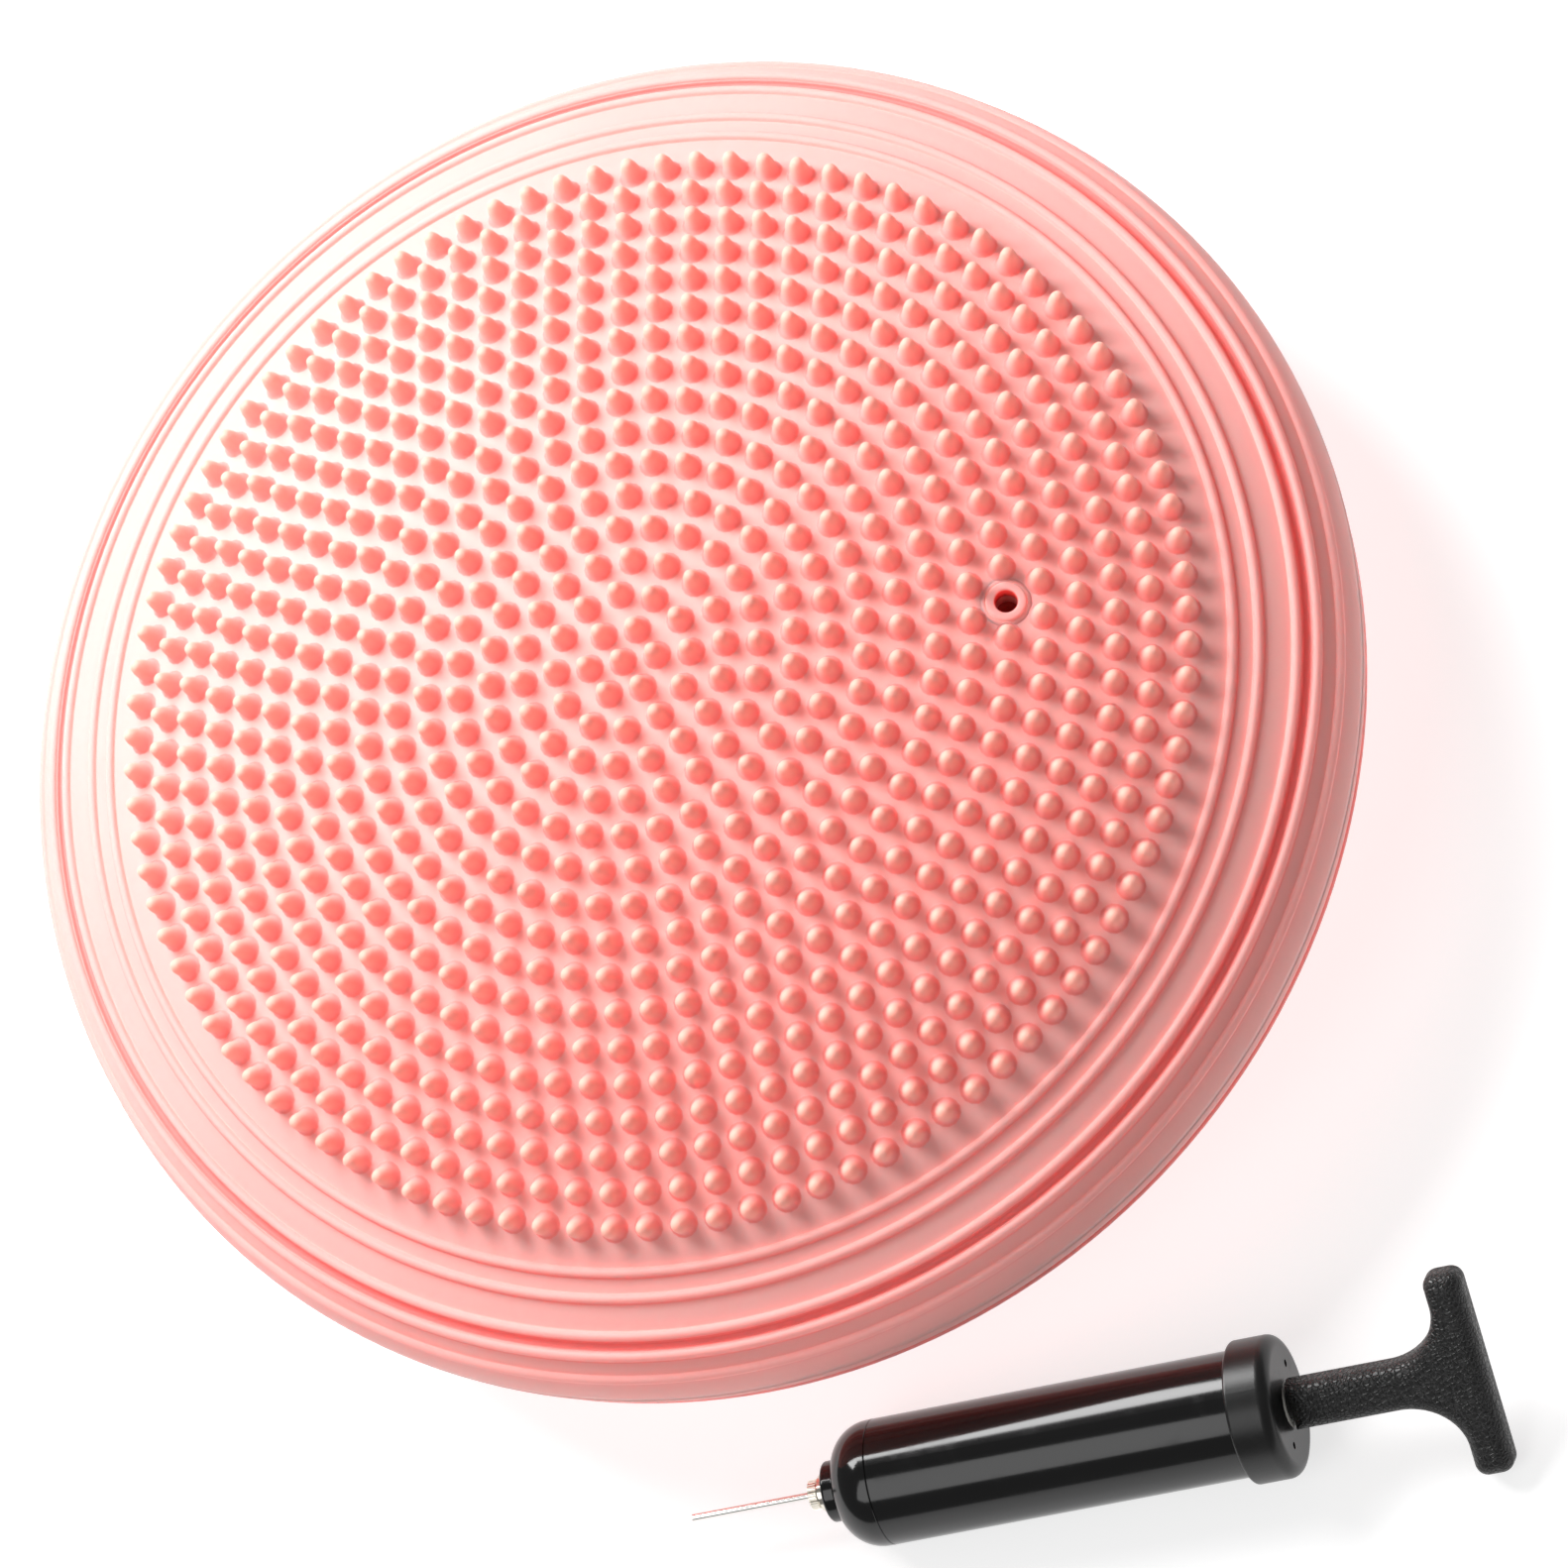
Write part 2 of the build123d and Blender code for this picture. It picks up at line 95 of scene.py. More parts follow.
# ---- the camera: near along +x_near, above the cushion, turned in the picture ----
camera_azimuth = radians(40.0)
camera_elevation = radians(64.3)
camera_roll = radians(48.4)
camera_distance = 3.0
frame_width = 0.366
sensor = 36.0
aim_right = 0.0375
aim_down = 0.0285

near_side = Vector((sin(camera_azimuth), -cos(camera_azimuth), 0))
away = near_side * cos(camera_elevation) + Vector((0, 0, sin(camera_elevation)))
down_near = near_side * sin(camera_elevation) - Vector((0, 0, cos(camera_elevation)))
level = Vector((0, 0, 1)).cross(near_side)
picture_right = level * cos(camera_roll) + down_near * sin(camera_roll)
picture_up = level * sin(camera_roll) - down_near * cos(camera_roll)


# ---- mesh helpers ----
def new_piece(name, mesh, material, body):
    """A finished piece on a body, with its material."""
    piece = bpy.data.objects.new(name, mesh)
    bpy.context.scene.collection.objects.link(piece)
    if material is not None:
        mesh.materials.clear()
        mesh.materials.append(material)
    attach(piece, body)
    return piece


def turned_mesh(name, outline, steps, closed=True):
    """Turns an outline of (out, along, painted shade) points about Z; the third value is kept as a mesh
    attribute of painted shade. Points on the axis become one vertex.
    """
    mesh = bpy.data.meshes.new(name)
    shape = bmesh.new()
    # painted shade: this attribute marks where the vinyl is tinted deep red in place of shade
    layer = shape.verts.layers.float.new("painted_shade")
    rings = []
    for out, along, painted_shade in outline:
        if out < 1e-7:
            ring = [shape.verts.new((0, 0, along))]
        else:
            ring = [shape.verts.new((out * cos(2 * pi * k / steps), out * sin(2 * pi * k / steps), along))
                    for k in range(steps)]
        for vertex in ring:
            vertex[layer] = painted_shade
        rings.append(ring)
    pairs = list(zip(rings, rings[1:]))
    if closed:
        pairs.append((rings[-1], rings[0]))
    for ring, following in pairs:
        for k in range(steps):
            corners = [ring[k % len(ring)], ring[(k + 1) % len(ring)],
                       following[(k + 1) % len(following)], following[k % len(following)]]
            corners = list(dict.fromkeys(corners))
            if len(corners) > 2:
                shape.faces.new(corners)
    bmesh.ops.recalc_face_normals(shape, faces=shape.faces)
    for face in shape.faces:
        face.smooth = True
    shape.to_mesh(mesh)
    shape.free()
    return mesh


def baked(piece):
    """The piece's evaluated mesh on its own, with its modifiers gone."""
    graph = bpy.context.evaluated_depsgraph_get()
    mesh = bpy.data.meshes.new_from_object(piece.evaluated_get(graph))
    piece.modifiers.clear()
    piece.data = mesh
    return mesh


# ---- the rim's outline, by distance along it from the crown ----
dome_run = dome_radius * shoulder_angle
rim_run = dome_run + shoulder_radius * (pi / 2 - shoulder_angle)


def run_at(place):
    """Distance along the outline at which it is this far from the middle."""
    if place <= dome_radius * sin(shoulder_angle):
        return dome_radius * asin(place / dome_radius)
    return dome_run + shoulder_radius * (asin((place - shoulder_place) / shoulder_radius) - shoulder_angle)


def smooth_point(run, inset=0.0):
    """Point and outward direction on the plain outline, moved in by the inset."""
    if run <= dome_run:
        turn = run / dome_radius
        return ((dome_radius - inset) * sin(turn), upper_centre + (dome_radius - inset) * cos(turn)), turn
    turn = shoulder_angle + (run - dome_run) / shoulder_radius
    out = shoulder_place + (shoulder_radius - inset) * sin(turn)
    return (out, rim_height + (shoulder_radius - inset) * cos(turn)), turn


def bead_profile(run):
    """Height of beads and channel over the plain outline, and how much painted shade lies in the crease
    there.
    """
    rise, crease = 0.0, 0.0
    for place in bead_places:
        offset = run - run_at(place)
        if abs(offset) < bead_width:
            rise = max(rise, sqrt(bead_width**2 - offset**2) - (bead_width - bead_rise))
        # painted shade at the foot of each bead, 0.5 on its outer side and 0.1 on its inner side
        foot = abs(abs(offset) - bead_width)
        side = 0.5 if offset > 0 else 0.1
        crease = max(crease, side * max(0.0, 1 - foot / 0.0006))
    offset = run - run_at(channel_place)
    if abs(offset) < channel_width and rise <= 0:
        rise = -channel_depth * sqrt(1 - (offset / channel_width) ** 2)
    # painted shade in the channel and just beside it
    crease = max(crease, min(0.6, max(0.0, (0.0014 - abs(offset)) / 0.0006)))
    return max(rise, -channel_depth), crease


def rim_outline():
    """Outside of the upper half, crown to rim, with the beads."""
    points = []
    rows = [k * 0.0034 for k in range(41)]
    rows += [0.1394 + k * (rim_run - 0.1394) / 26 for k in range(27)]
    for place in bead_places:
        for share in (0.25, 0.55, 0.8, 0.94, 0.995, 1.15, 1.45):
            rows += [run_at(place) - share * bead_width, run_at(place) + share * bead_width]
        rows.append(run_at(place))
    for share in (0.5, 0.85, 0.98):
        rows += [run_at(channel_place) - share * channel_width, run_at(channel_place) + share * channel_width]
    rows = [run for run in sorted(rows) if run <= rim_run]
    kept = [rows[0]]
    for run in rows[1:]:
        if run - kept[-1] > 0.00005:
            kept.append(run)
    kept[-1] = rim_run
    for run in kept:
        (out, height), turn = smooth_point(run)
        # each point also carries the painted crease shade from bead_profile
        rise, crease = bead_profile(run)
        points.append((out + rise * sin(turn), height + rise * cos(turn), crease))
    return points


# ---- shared shader groups ----
def new_socket(tree, name, direction, kind, value=None):
    socket = tree.interface.new_socket(name=name, in_out=direction, socket_type=kind)
    if value is not None:
        socket.default_value = value
    return socket


def wire(tree, source, target):
    tree.links.new(source, target)


def math_node(tree, operation, first, second=None, clamp=False):
    node = tree.nodes.new("ShaderNodeMath")
    node.operation = operation
    node.use_clamp = clamp
    for index, value in enumerate((first, second)):
        if value is None:
            continue
        if isinstance(value, (int, float)):
            node.inputs[index].default_value = value
        else:
            wire(tree, value, node.inputs[index])
    return node.outputs[0]


def moulded_grain_group():
    """Slow mottling, fine grain and faint scuffs of a moulded surface, on object coordinates."""
    tree = bpy.data.node_groups.new("moulded grain", "ShaderNodeTree")
    new_socket(tree, "Mottle size", "INPUT", "NodeSocketFloat", 40.0)
    new_socket(tree, "Grain size", "INPUT", "NodeSocketFloat", 1500.0)
    new_socket(tree, "Scuff size", "INPUT", "NodeSocketFloat", 160.0)
    new_socket(tree, "Mottle", "OUTPUT", "NodeSocketFloat")
    new_socket(tree, "Grain", "OUTPUT", "NodeSocketFloat")
    new_socket(tree, "Scuff", "OUTPUT", "NodeSocketFloat")
    entry = tree.nodes.new("NodeGroupInput")
    exit_node = tree.nodes.new("NodeGroupOutput")
    place = tree.nodes.new("ShaderNodeTexCoord")
    for size, output, detail in (("Mottle size", "Mottle", 3.0), ("Grain size", "Grain", 2.0)):
        noise = tree.nodes.new("ShaderNodeTexNoise")
        noise.inputs["Detail"].default_value = detail
        wire(tree, place.outputs["Object"], noise.inputs["Vector"])
        wire(tree, entry.outputs[size], noise.inputs["Scale"])
        wire(tree, noise.outputs["Fac"], exit_node.inputs[output])
    scuff = tree.nodes.new("ShaderNodeTexNoise")
    scuff.inputs["Detail"].default_value = 6.0
    scuff.inputs["Roughness"].default_value = 0.7
    scuff.inputs["Distortion"].default_value = 0.6
    wire(tree, place.outputs["Object"], scuff.inputs["Vector"])
    wire(tree, entry.outputs["Scuff size"], scuff.inputs["Scale"])
    ramp = tree.nodes.new("ShaderNodeMapRange")
    ramp.inputs["From Min"].default_value = 0.56
    ramp.inputs["From Max"].default_value = 0.74
    wire(tree, scuff.outputs["Fac"], ramp.inputs["Value"])
    wire(tree, ramp.outputs["Result"], exit_node.inputs["Scuff"])
    return tree


def leather_grain_group():
    """Pebbled texture moulded into a grip: cells with soft creases between them."""
    tree = bpy.data.node_groups.new("pebbled grip", "ShaderNodeTree")
    new_socket(tree, "Cell size", "INPUT", "NodeSocketFloat", 900.0)
    new_socket(tree, "Height", "OUTPUT", "NodeSocketFloat")
    new_socket(tree, "Crease", "OUTPUT", "NodeSocketFloat")
    entry = tree.nodes.new("NodeGroupInput")
    exit_node = tree.nodes.new("NodeGroupOutput")
    place = tree.nodes.new("ShaderNodeTexCoord")
    warp = tree.nodes.new("ShaderNodeTexNoise")
    warp.inputs["Scale"].default_value = 420.0
    wire(tree, place.outputs["Object"], warp.inputs["Vector"])
    shift = tree.nodes.new("ShaderNodeVectorMath")
    shift.operation = "MULTIPLY_ADD"
    shift.inputs[1].default_value = (0.0012, 0.0012, 0.0012)
    wire(tree, warp.outputs["Color"], shift.inputs[0])
    wire(tree, place.outputs["Object"], shift.inputs[2])
    cells = tree.nodes.new("ShaderNodeTexVoronoi")
    cells.feature = "DISTANCE_TO_EDGE"
    wire(tree, shift.outputs["Vector"], cells.inputs["Vector"])
    wire(tree, entry.outputs["Cell size"], cells.inputs["Scale"])
    ramp = tree.nodes.new("ShaderNodeMapRange")
    ramp.interpolation_type = "SMOOTHSTEP"
    ramp.inputs["From Max"].default_value = 0.22
    wire(tree, cells.outputs["Distance"], ramp.inputs["Value"])
    wire(tree, ramp.outputs["Result"], exit_node.inputs["Height"])
    crease = math_node(tree, "SUBTRACT", 1.0, ramp.outputs["Result"])
    wire(tree, crease, exit_node.inputs["Crease"])
    return tree


moulded_grain = moulded_grain_group()
pebbled_grip = leather_grain_group()


def placed_group(tree, group, **values):
    node = tree.nodes.new("ShaderNodeGroup")
    node.node_tree = group
    for name, value in values.items():
        node.inputs[name.replace("_", " ")].default_value = value
    return node


def mixed(tree, factor, first, second):
    """Mix of two colours, each a socket or a plain colour."""
    node = tree.nodes.new("ShaderNodeMix")
    node.data_type = "RGBA"
    if isinstance(factor, (int, float)):
        node.inputs[0].default_value = factor
    else:
        wire(tree, factor, node.inputs[0])
    for index, colour in ((6, first), (7, second)):
        if isinstance(colour, tuple):
            node.inputs[index].default_value = (*colour, 1.0)
        else:
            wire(tree, colour, node.inputs[index])
    return node.outputs[2]


def ranged(tree, value, low, high):
    """Maps a 0..1 value to this range."""
    node = tree.nodes.new("ShaderNodeMapRange")
    node.inputs["To Min"].default_value = low
    node.inputs["To Max"].default_value = high
    wire(tree, value, node.inputs["Value"])
    return node.outputs["Result"]


def bumped(tree, surface, height, strength, distance):
    bump = tree.nodes.new("ShaderNodeBump")
    bump.inputs["Strength"].default_value = strength
    bump.inputs["Distance"].default_value = distance
    wire(tree, height, bump.inputs["Height"])
    wire(tree, bump.outputs["Normal"], surface.inputs["Normal"])
    return bump


def new_material(name):
    material = bpy.data.materials.new(name)
    material.use_nodes = True
    return material, material.node_tree, material.node_tree.nodes["Principled BSDF"]


def moulded_material(name, colour, worn, roughness, metallic=0.0, specular=0.5, bump=0.00002, coat=0.0,
                     mottle=40.0, grain=1500.0, scuff=160.0):
    """Plain moulded, turned or plated finish: colour mottling, scuffs in the gloss, fine bump."""
    material, tree, surface = new_material(name)
    detail = placed_group(tree, moulded_grain, Mottle_size=mottle, Grain_size=grain, Scuff_size=scuff)
    tint = mixed(tree, ranged(tree, detail.outputs["Mottle"], 0.0, 0.5), colour, worn)
    scuffed = mixed(tree, ranged(tree, detail.outputs["Scuff"], 0.0, 0.35), tint, worn)
    wire(tree, scuffed, surface.inputs["Base Color"])
    rough = math_node(tree, "ADD", ranged(tree, detail.outputs["Mottle"], roughness * 0.85, roughness * 1.15),
                      ranged(tree, detail.outputs["Scuff"], 0.0, 0.08))
    wire(tree, rough, surface.inputs["Roughness"])
    bumped(tree, surface, detail.outputs["Grain"], 0.6, bump)
    surface.inputs["Metallic"].default_value = metallic
    surface.inputs["Specular IOR Level"].default_value = specular
    surface.inputs["Coat Weight"].default_value = coat
    surface.inputs["Coat Roughness"].default_value = 0.04
    return material


def vinyl_material(name, skin, painted_tip_light, mottle_and_painted_shade):
    """Soft translucent vinyl, light bleeding through it; the stud tips are painted paler as painted light,
    and the creases painted deeper red as painted shade.
    """
    material, tree, surface = new_material(name)
    detail = placed_group(tree, moulded_grain, Mottle_size=22.0, Grain_size=900.0, Scuff_size=90.0)
    place = tree.nodes.new("ShaderNodeTexCoord")
    from_centre = tree.nodes.new("ShaderNodeVectorMath")
    from_centre.operation = "DISTANCE"
    from_centre.inputs[1].default_value = (0, 0, upper_centre)
    wire(tree, place.outputs["Object"], from_centre.inputs[0])
    height = tree.nodes.new("ShaderNodeMapRange")
    height.inputs["From Min"].default_value = dome_radius + 0.0008
    height.inputs["From Max"].default_value = dome_radius + stud_height
    wire(tree, from_centre.outputs["Value"], height.inputs["Value"])
    crease = tree.nodes.new("ShaderNodeAttribute")
    crease.attribute_name = "painted_shade"
    tint = mixed(tree, ranged(tree, detail.outputs["Mottle"], 0.0, 0.12), skin, mottle_and_painted_shade)
    # painted light: the stud tips are tinted paler by their height above the dome, standing in for light that
    # catches and shines through the thin tips
    tint = mixed(tree, ranged(tree, height.outputs["Result"], 0.0, 0.75), tint, painted_tip_light)
    # painted shade: the deep red goes where the mesh carries painted shade, in creases, bead feet, stud roots
    # and the valve's bore; the same red also takes the slight random mottle above
    tint = mixed(tree, ranged(tree, crease.outputs["Fac"], 0.0, 0.9), tint, mottle_and_painted_shade)
    wire(tree, tint, surface.inputs["Base Color"])
    wire(tree, math_node(tree, "ADD", ranged(tree, detail.outputs["Mottle"], 0.48, 0.60),
                         ranged(tree, detail.outputs["Scuff"], 0.0, 0.06)), surface.inputs["Roughness"])
    bumped(tree, surface, detail.outputs["Grain"], 0.5, 0.00003)
    surface.subsurface_method = "BURLEY"
    surface.inputs["Subsurface Weight"].default_value = 1.0
    surface.inputs["Subsurface Radius"].default_value = (1.0, 0.17, 0.13)
    surface.inputs["Subsurface Scale"].default_value = 0.0042
    surface.inputs["Specular IOR Level"].default_value = 0.2
    return material


def grip_material(name, colour, worn):
    material, tree, surface = new_material(name)
    pebbles = placed_group(tree, pebbled_grip, Cell_size=850.0)
    detail = placed_group(tree, moulded_grain, Mottle_size=60.0, Grain_size=2600.0, Scuff_size=220.0)
    tint = mixed(tree, ranged(tree, detail.outputs["Mottle"], 0.0, 0.6), colour, worn)
    wire(tree, mixed(tree, ranged(tree, pebbles.outputs["Crease"], 0.0, 0.5), tint, colour),
         surface.inputs["Base Color"])
    wire(tree, math_node(tree, "ADD", ranged(tree, pebbles.outputs["Crease"], 0.36, 0.60),
                         ranged(tree, detail.outputs["Scuff"], 0.0, 0.08)), surface.inputs["Roughness"])
    surface.inputs["Specular IOR Level"].default_value = 0.5
    bumped(tree, surface, pebbles.outputs["Height"], 0.8, 0.00026)
    return material


# each finish by the record's slot: its colour, then its worn colour; the pink vinyl takes its skin colour, a
# paler tip colour painted as light, and a deep red for mottling and painted shade
finishes = {
    "shell_pink": vinyl_material("soft vinyl, pink", skin=(0.97, 0.45, 0.42), painted_tip_light=(0.98, 0.49, 0.38),
                                 mottle_and_painted_shade=(0.88, 0.08, 0.075)),
    "valve_rubber": moulded_material("valve rubber, dark red", (0.42, 0.03, 0.02), (0.30, 0.02, 0.015), 0.6),
    "gloss_black": moulded_material("polished black plastic", (0.002, 0.002, 0.0022), (0.004, 0.004, 0.004),
                                    0.12, bump=0.000002, scuff=60.0),
    "satin_black": moulded_material("satin black plastic", (0.004, 0.004, 0.004), (0.009, 0.009, 0.009),
                                    0.32, specular=0.45),
    "grained_black": grip_material("pebbled black grip", (0.005, 0.005, 0.005), (0.014, 0.014, 0.014)),
    "white_plastic": moulded_material("natural nylon", (0.78, 0.77, 0.72), (0.70, 0.68, 0.62), 0.4),
    "seal_rubber": moulded_material("black seal rubber", (0.02, 0.02, 0.02), (0.04, 0.04, 0.04), 0.7),
    "insert_brass": moulded_material("turned brass", (0.72, 0.52, 0.24), (0.60, 0.42, 0.20),
                                     0.28, metallic=1.0),
    "screw_steel": moulded_material("zinc-plated steel", (0.62, 0.63, 0.64), (0.50, 0.50, 0.50),
                                    0.3, metallic=1.0),
    "needle_steel": moulded_material("drawn needle steel", (0.80, 0.79, 0.76), (0.62, 0.60, 0.57),
                                     0.16, metallic=1.0, bump=0.000004, scuff=400.0),
    "nickel": moulded_material("nickel plate", (0.78, 0.74, 0.66), (0.55, 0.51, 0.45),
                               0.14, metallic=1.0, bump=0.000004, scuff=500.0),
}

# every CAD node takes its slot's finish
for entry in frame["record"]["subparts"]:
    node = frame["nodes"][entry["node"]]
    node.data.materials.clear()
    node.data.materials.append(finishes[entry["material_slot"]])


# ---- studded dome ----
def stud_mesh():
    """One stud, its root flared into the dome and a hair under its surface."""
    flank_slope = (stud_base_radius - stud_tip_radius) / stud_shoulder
    # the third value is painted shade: the stud's root flare is tinted deep red where shade gathers at its
    # foot
    outline = [(stud_base_radius + 0.00085, -0.00012, 0.15), (stud_base_radius + 0.0002, 0.00012, 0.5),
               (stud_base_radius - 0.0003, 0.0007, 0.3)]
    outline.append((stud_tip_radius + 0.00010 + flank_slope * 0.0006, stud_shoulder - 0.0006, 0.0))
    for turn in (38, 66):
        outline.append((stud_tip_radius * cos(radians(turn)) + 0.00002,
                        stud_shoulder + (stud_height - stud_shoulder) * sin(radians(turn)), 0.0))
    outline.append((0.0, stud_height, 0.0))
    return turned_mesh("stud_shape", outline, stud_sides, closed=False)


def group_node(tree, kind, **values):
    node = tree.nodes.new(kind)
    for name, value in values.items():
        setattr(node, name, value)
    return node


def stud_tree():
    """Puts studs on a dome in rings: each ring has a fixed number more than the one inside it."""
    tree = bpy.data.node_groups.new("rings of studs on a dome", "GeometryNodeTree")
    new_socket(tree, "Geometry", "INPUT", "NodeSocketGeometry")
    new_socket(tree, "Stud", "INPUT", "NodeSocketObject")
    new_socket(tree, "Rings", "INPUT", "NodeSocketInt", 16)
    new_socket(tree, "Studs per ring step", "INPUT", "NodeSocketInt", 6)
    new_socket(tree, "Pitch", "INPUT", "NodeSocketFloat", 0.008)
    new_socket(tree, "Even ring turn", "INPUT", "NodeSocketFloat", 0.0)
    new_socket(tree, "Dome radius", "INPUT", "NodeSocketFloat", 0.36)
    new_socket(tree, "Dome centre", "INPUT", "NodeSocketFloat", 0.0)
    new_socket(tree, "Valve ring", "INPUT", "NodeSocketInt", 11)
    new_socket(tree, "Material", "INPUT", "NodeSocketMaterial")
    new_socket(tree, "Geometry", "OUTPUT", "NodeSocketGeometry")
    entry = tree.nodes.new("NodeGroupInput").outputs
    exit_node = tree.nodes.new("NodeGroupOutput")

    def calc(operation, first, second=None, third=None):
        node = group_node(tree, "ShaderNodeMath", operation=operation)
        for slot_index, value in enumerate((first, second, third)):
            if value is None:
                continue
            if isinstance(value, (int, float)):
                node.inputs[slot_index].default_value = value
            else:
                wire(tree, value, node.inputs[slot_index])
        return node.outputs[0]

    # total = 1 + step * rings * (rings + 1) / 2
    pairs = calc("MULTIPLY", entry["Rings"], calc("ADD", entry["Rings"], 1.0))
    half_step = calc("MULTIPLY", entry["Studs per ring step"], 0.5)
    total = calc("MULTIPLY_ADD", half_step, pairs, 1.0)
    points = group_node(tree, "GeometryNodePoints")
    wire(tree, total, points.inputs["Count"])
    # ring = smallest whole number with index <= step * ring * (ring + 1) / 2
    index = tree.nodes.new("GeometryNodeInputIndex").outputs[0]
    root = calc("SQRT", calc("ADD", calc("DIVIDE", index, half_step), 0.25))
    ring = calc("CEIL", calc("SUBTRACT", calc("SUBTRACT", root, 0.5), 0.001))
    before = calc("MULTIPLY_ADD", half_step, calc("MULTIPLY", ring, calc("SUBTRACT", ring, 1.0)), 1.0)
    place = calc("SUBTRACT", index, before)
    count = calc("MAXIMUM", calc("MULTIPLY", entry["Studs per ring step"], ring), 1.0)
    even = calc("SUBTRACT", 1.0, calc("MODULO", ring, 2.0))
    turn = calc("SUBTRACT", calc("DIVIDE", calc("MULTIPLY", place, 2 * pi), count),
                calc("MULTIPLY", even, entry["Even ring turn"]))
    tilt = calc("DIVIDE", calc("MULTIPLY", ring, entry["Pitch"]), entry["Dome radius"])
    out = calc("MULTIPLY", entry["Dome radius"], calc("SINE", tilt))
    position = group_node(tree, "ShaderNodeCombineXYZ")
    wire(tree, calc("MULTIPLY", out, calc("COSINE", turn)), position.inputs[0])
    wire(tree, calc("MULTIPLY", out, calc("SINE", turn)), position.inputs[1])
    wire(tree, calc("MULTIPLY_ADD", entry["Dome radius"], calc("COSINE", tilt), entry["Dome centre"]),
         position.inputs[2])
    moved = group_node(tree, "GeometryNodeSetPosition")
    wire(tree, points.outputs[0], moved.inputs["Geometry"])
    wire(tree, position.outputs[0], moved.inputs["Position"])
    # no stud where the valve's mouth is
    valve_ring_here = calc("COMPARE", ring, entry["Valve ring"], 0.1)
    at_valve = calc("MULTIPLY", valve_ring_here, calc("COMPARE", place, 0.0, 0.1))
    free = calc("SUBTRACT", 1.0, at_valve)
    lean = group_node(tree, "ShaderNodeCombineXYZ")
    wire(tree, tilt, lean.inputs[1])
    wire(tree, turn, lean.inputs[2])
    shape = group_node(tree, "GeometryNodeObjectInfo")
    wire(tree, entry["Stud"], shape.inputs["Object"])
    studs = group_node(tree, "GeometryNodeInstanceOnPoints")
    wire(tree, moved.outputs[0], studs.inputs["Points"])
    wire(tree, free, studs.inputs["Selection"])
    wire(tree, shape.outputs["Geometry"], studs.inputs["Instance"])
    wire(tree, lean.outputs[0], studs.inputs["Rotation"])
    solid = group_node(tree, "GeometryNodeRealizeInstances")
    wire(tree, studs.outputs[0], solid.inputs[0])
    joined = group_node(tree, "GeometryNodeJoinGeometry")
    wire(tree, solid.outputs[0], joined.inputs[0])
    wire(tree, entry["Geometry"], joined.inputs[0])
    painted = group_node(tree, "GeometryNodeSetMaterial")
    wire(tree, joined.outputs[0], painted.inputs["Geometry"])
    wire(tree, entry["Material"], painted.inputs["Material"])
    wire(tree, painted.outputs[0], exit_node.inputs[0])
    return tree


def grown(piece, tree, **values):
    """Runs a geometry tree on the piece with these inputs, and keeps the result as a plain mesh."""
    modifier = piece.modifiers.new("grown", "NODES")
    modifier.node_group = tree
    for item in tree.interface.items_tree:
        key = item.name.replace(" ", "_")
        if item.in_out == "INPUT" and key in values:
            modifier[item.identifier] = values[key]
    return baked(piece)


valve_tilt = valve_ring * stud_pitch / dome_radius
valve_lean = Matrix.Rotation(valve_tilt, 4, "Y") @ Matrix.Translation((0, 0, dome_radius))
valve_place = Matrix.Translation((0, 0, upper_centre)) @ valve_lean


def inside_points():
    """The inside of a half shell's wall, from rim to crown, at the upper half's height."""
    return [smooth_point(rim_run - k * rim_run / inside_rows, shell_wall)[0] for k in range(inside_rows + 1)]


def shell_outline(outside):
    """Closes a half shell's outline: outside, then the inside of the same wall."""
    return outside + [(out, height, 0.0) for out, height in inside_points()]


outside = rim_outline()
dome_mesh = turned_mesh("studded_dome", shell_outline(outside), lathe_steps)
dome = bpy.data.objects.new("studded_dome", dome_mesh)
bpy.context.scene.collection.objects.link(dome)

# the valve's mouth is cut through the dome before the studs go on
cutter_outline = [(0, mouth_cut_above, 0), (mouth_cut_radius, mouth_cut_above, 0),
                  (mouth_cut_radius, -mouth_cut_below, 0), (0, -mouth_cut_below, 0)]
cutter_mesh = turned_mesh("mouth_cutter", cutter_outline, 40, closed=False)
cutter_mesh.transform(valve_place)
cutter = bpy.data.objects.new("mouth_cutter", cutter_mesh)
bpy.context.scene.collection.objects.link(cutter)
cut = dome.modifiers.new("mouth", "BOOLEAN")
cut.operation = "DIFFERENCE"
cut.solver = "EXACT"
cut.object = cutter
dome_mesh = baked(dome)
bpy.data.objects.remove(cutter)

stud_shape = bpy.data.objects.new("stud_shape", stud_mesh())
bpy.context.scene.collection.objects.link(stud_shape)
dome_mesh = grown(dome, stud_tree(), Stud=stud_shape, Rings=stud_rings,
                  Studs_per_ring_step=studs_per_ring_step, Pitch=stud_pitch,
                  Even_ring_turn=even_ring_turn, Dome_radius=dome_radius, Dome_centre=upper_centre,
                  Valve_ring=valve_ring, Material=finishes["shell_pink"])
bpy.data.objects.remove(stud_shape)
dome_mesh.name = "studded_dome"
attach(dome, "cushion")
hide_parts("upper_shell")

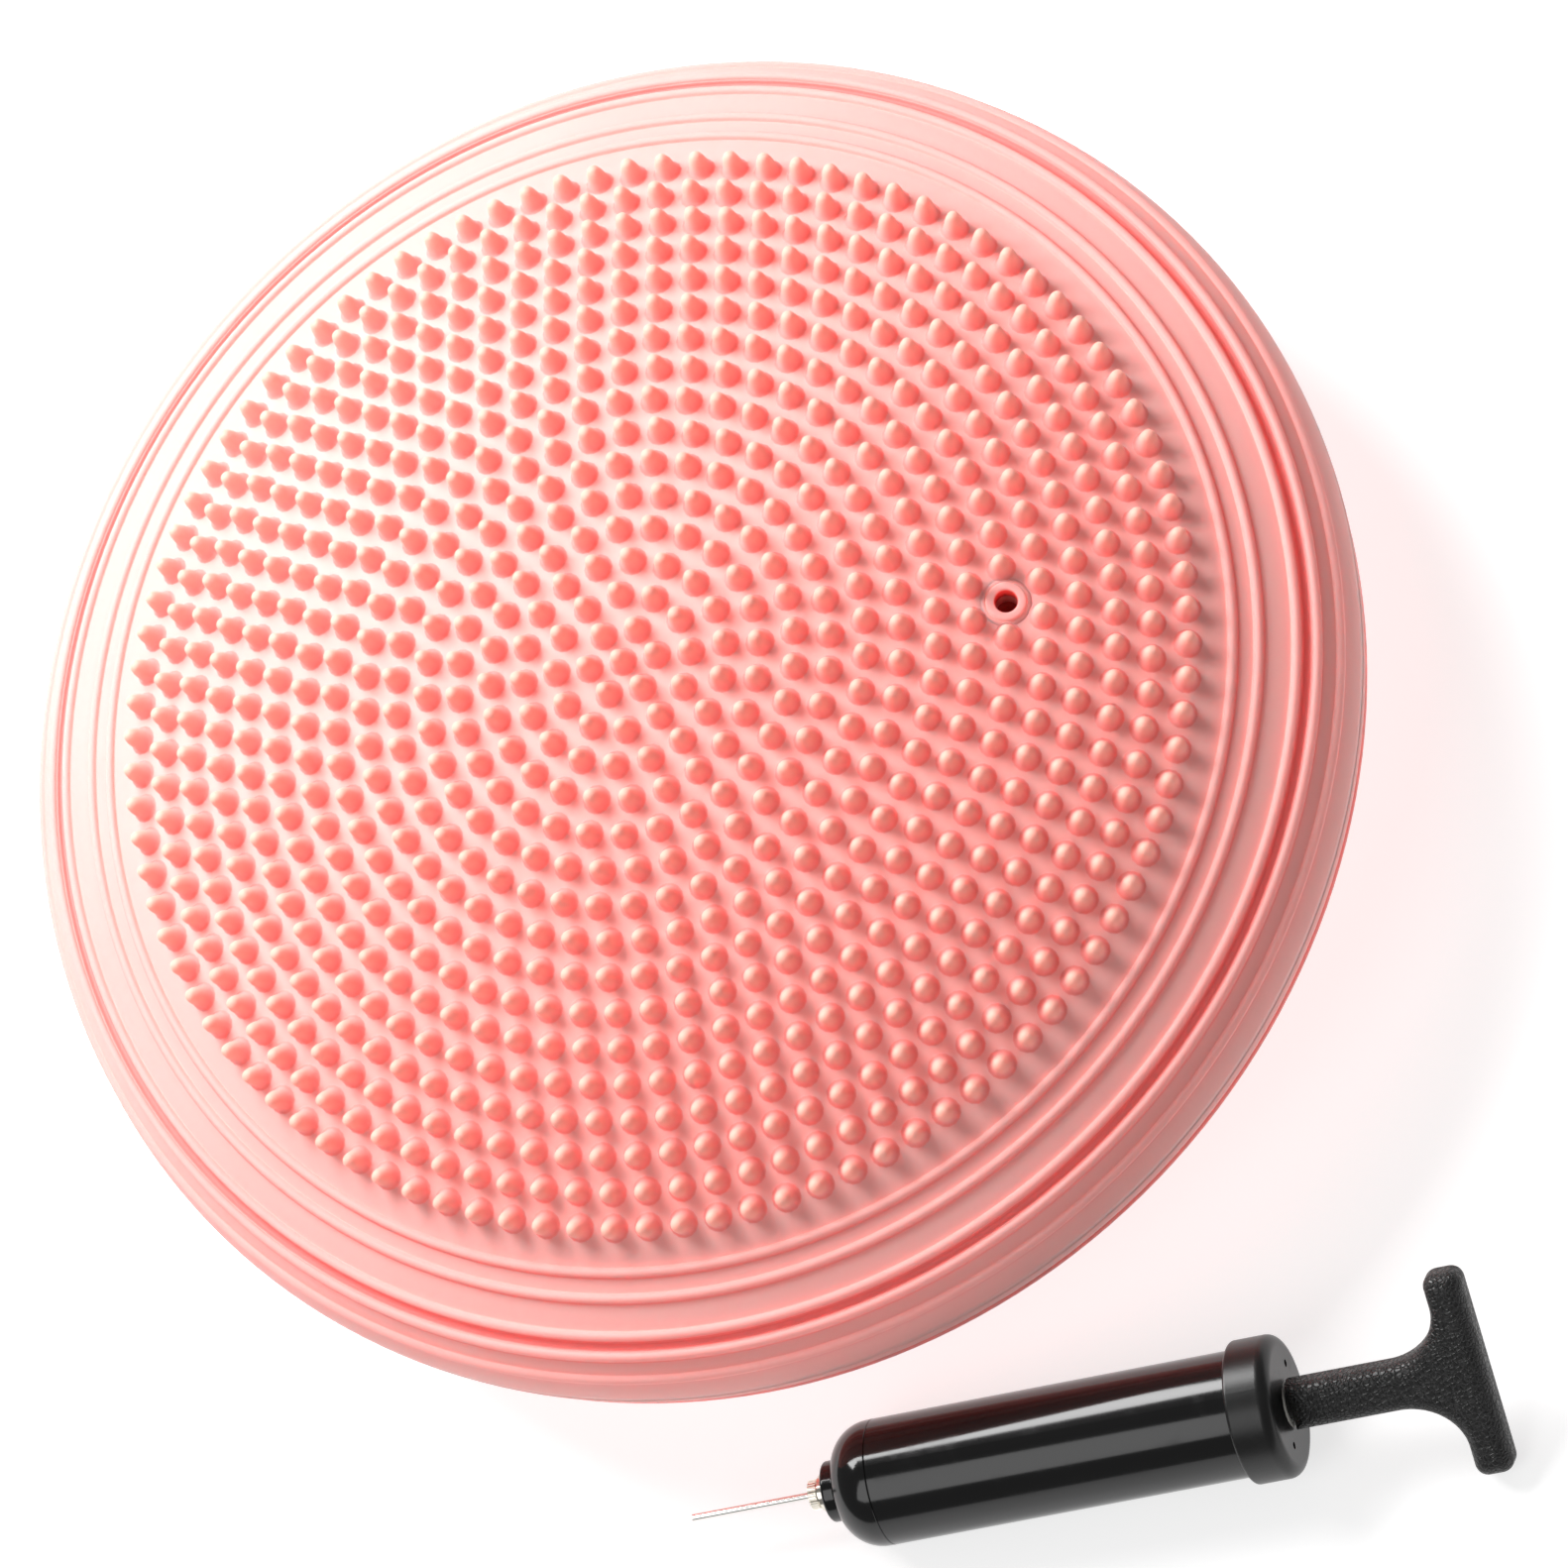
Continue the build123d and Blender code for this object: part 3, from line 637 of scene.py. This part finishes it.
# ---- valve mouth: a low mound that flares into the dome, and its bore ----
# the third value is painted shade: a little at the mound's foot, growing over the mouth's rounded lip to full
# deep red down the bore
mound = [(valve_mound_radius + 0.0014, -0.00012, 0.0), (valve_mound_radius + 0.0005, 0.00006, 0.12),
         (valve_mound_radius, 0.0003, 0.08)]
for turn in (0, 30, 60, 90):
    mound.append((valve_mound_radius - mound_round + mound_round * cos(radians(turn)),
                  valve_mound_height - mound_round + mound_round * sin(radians(turn)), 0.0))
mound += [(valve_mouth_radius + 0.0007, valve_mound_height + 0.00005, 0.0)]
for turn in (0, 30, 60, 90):
    mound.append((valve_mouth_radius + mouth_round - mouth_round * sin(radians(turn)),
                  valve_mound_height - mouth_round + mouth_round * cos(radians(turn)), turn / 90))
mound += [(valve_mouth_radius, -0.0015, 1.0), (valve_mouth_radius, -shell_wall - 0.0002, 1.0),
          (0.0045, -shell_wall - 0.0002, 1.0)]
mouth_mesh = turned_mesh("valve_mouth", mound, 48)
mouth_mesh.transform(valve_place)
new_piece("valve_mouth", mouth_mesh, finishes["shell_pink"], "cushion")

# ---- plain underside: mirrored rim, eased into the flat patch it lies on ----
patch_turn = acos(lower_centre / dome_radius)
patch_radius = dome_radius * sin(patch_turn)
easing = 0.010


def under_height(out, height):
    """Height of the underside: the mirrored dome, blended into the floor near the patch's edge."""
    mirrored = 2 * rim_height - height
    if mirrored > 0.003 or out > patch_radius + 4 * easing:
        return mirrored
    return (mirrored + sqrt(mirrored**2 + 0.0006**2)) / 2 - 0.0003 * max(0.0, 1 - max(0.0, mirrored) / 0.003)


# the rim's painted crease shade goes with its outline onto the underside
under = [(out, max(0.0, under_height(out, height)), crease) for out, height, crease in outside]
under += [(out, max(shell_wall, 2 * rim_height - height), 0.0) for out, height in inside_points()]
under_mesh = turned_mesh("plain_underside", under, lathe_steps)
underside = new_piece("plain_underside", under_mesh, finishes["shell_pink"], "cushion")
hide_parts("lower_shell")

# ---- floor and light ----
floor_mesh = bpy.data.meshes.new("studio_floor")
floor_mesh.from_pydata([(-6, -6, 0), (6, -6, 0), (6, 6, 0), (-6, 6, 0)], [], [(0, 1, 2, 3)])
floor = bpy.data.objects.new("studio_floor", floor_mesh)
bpy.context.scene.collection.objects.link(floor)
floor_material, _, floor_surface = new_material("pale floor")
floor_surface.inputs["Base Color"].default_value = (0.55, 0.55, 0.55, 1)
floor_surface.inputs["Roughness"].default_value = 0.35
floor_surface.inputs["Specular IOR Level"].default_value = 0.25
floor_surface.inputs["Emission Color"].default_value = (1, 1, 1, 1)
floor_surface.inputs["Emission Strength"].default_value = 0.7
floor_mesh.materials.append(floor_material)

crown = Vector((0, 0, crown_height))
aim = crown + picture_right * aim_right - picture_up * aim_down


def soft_light(name, direction, distance, width, height, power):
    """A softbox this way and this far from the crown, pointed at it."""
    data = bpy.data.lights.new(name, "AREA")
    data.shape = "RECTANGLE"
    data.size = width
    data.size_y = height
    data.energy = power
    lamp = bpy.data.objects.new(name, data)
    bpy.context.scene.collection.objects.link(lamp)
    lamp.location = crown + direction.normalized() * distance
    lamp.rotation_euler = (crown - lamp.location).to_track_quat("-Z", "Y").to_euler()
    return lamp


# the key grazes the studs from the far side; the near card draws the band along the barrel
key_lean = radians(49.0)
key_side = -near_side * sin(key_lean) - level * 0.05 + Vector((0, 0, cos(key_lean)))
soft_light("key_softbox", key_side, distance=1.05, width=0.75, height=0.75, power=23.5)
card_side = Vector((-0.28, -0.59, 0.76))
soft_light("near_card", card_side, distance=1.2, width=0.5, height=0.75, power=2.6)

world = bpy.data.worlds.new("studio")
bpy.context.scene.world = world
world.use_nodes = True
world.node_tree.nodes["Background"].inputs["Color"].default_value = (1, 1, 1, 1)
world.node_tree.nodes["Background"].inputs["Strength"].default_value = 0.24
bpy.context.scene.view_settings.view_transform = "Standard"

# ---- camera ----
camera_data = bpy.data.cameras.new("camera")
camera_data.sensor_width = sensor
camera_data.lens = sensor * camera_distance / frame_width
camera_data.clip_end = 50
camera = bpy.data.objects.new("camera", camera_data)
bpy.context.scene.collection.objects.link(camera)
turned = Matrix((picture_right, picture_up, away)).transposed().to_4x4()
camera.matrix_world = Matrix.Translation(aim + away * camera_distance) @ turned
bpy.context.scene.camera = camera
